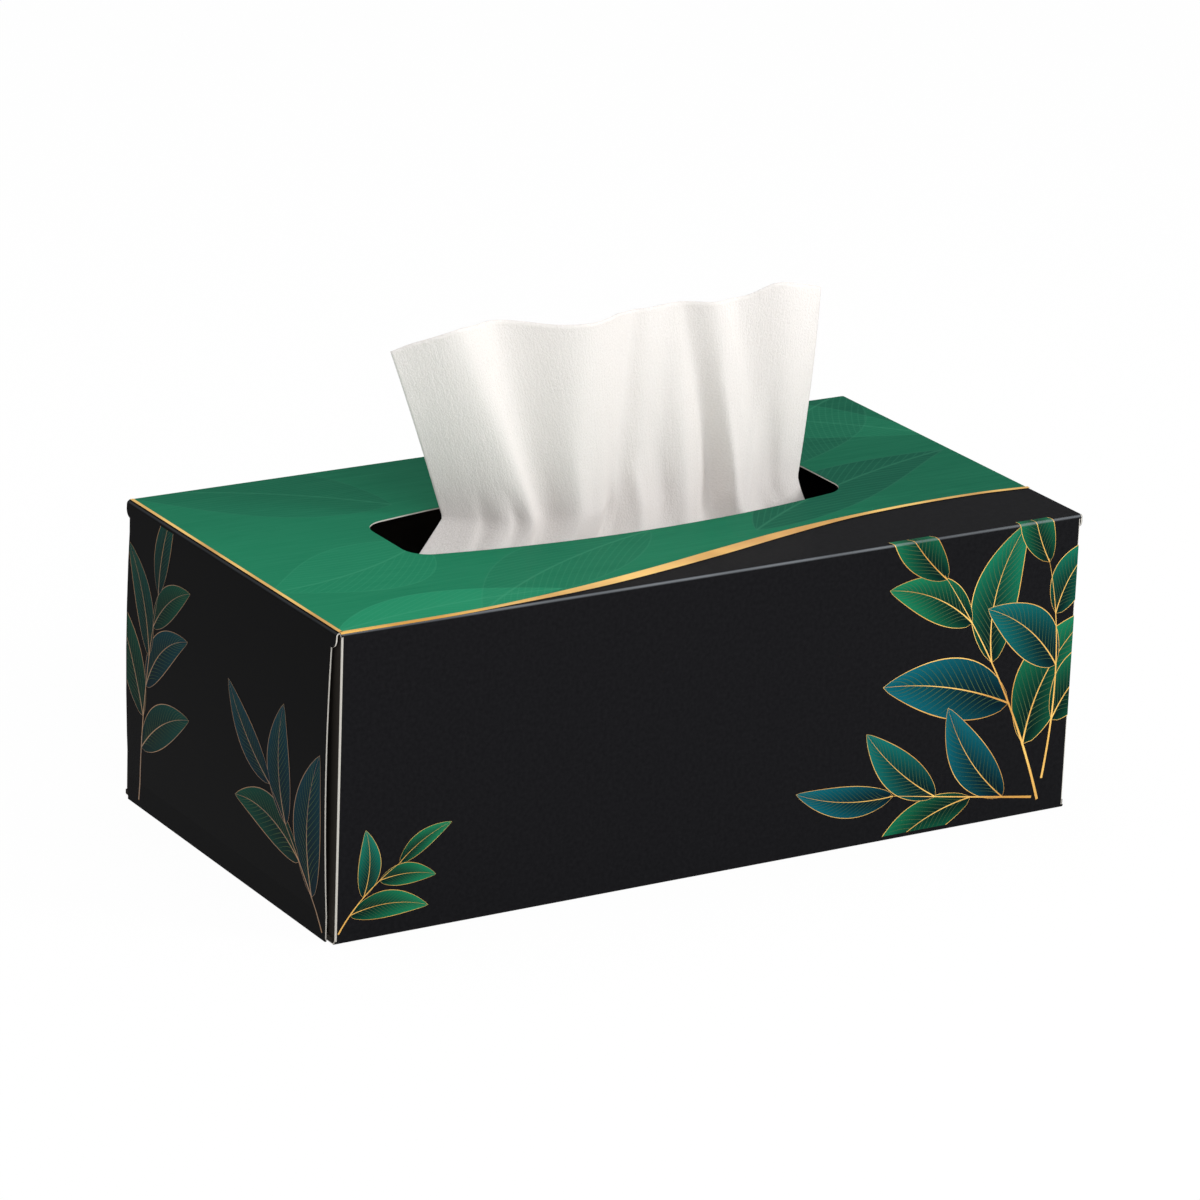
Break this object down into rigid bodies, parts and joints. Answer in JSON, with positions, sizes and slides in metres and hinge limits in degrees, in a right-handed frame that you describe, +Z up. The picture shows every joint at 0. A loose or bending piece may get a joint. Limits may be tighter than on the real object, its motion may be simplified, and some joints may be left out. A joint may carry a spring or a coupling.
{
  "type": "tissue box",
  "caption": "Rectangular folded board carton of pull-out facial tissues, with a rounded slot in its top and one gathered tissue standing up through it.",
  "frame": {"origin": "middle of the base, on the surface the box stands on", "axes": "+X along the carton, to the right when the long front is faced; +Y from the front to the back; +Z up, out of the slot"},
  "size_m": [0.232, 0.12, 0.1388],
  "materials": {
    "printed_board": "satin",
    "tissue": "matte"
  },
  "bodies": {
    "root": {"carton": "printed_board", "tissue_stack": "tissue", "pulled_tissue": "tissue"}
  },
  "joints": []
}
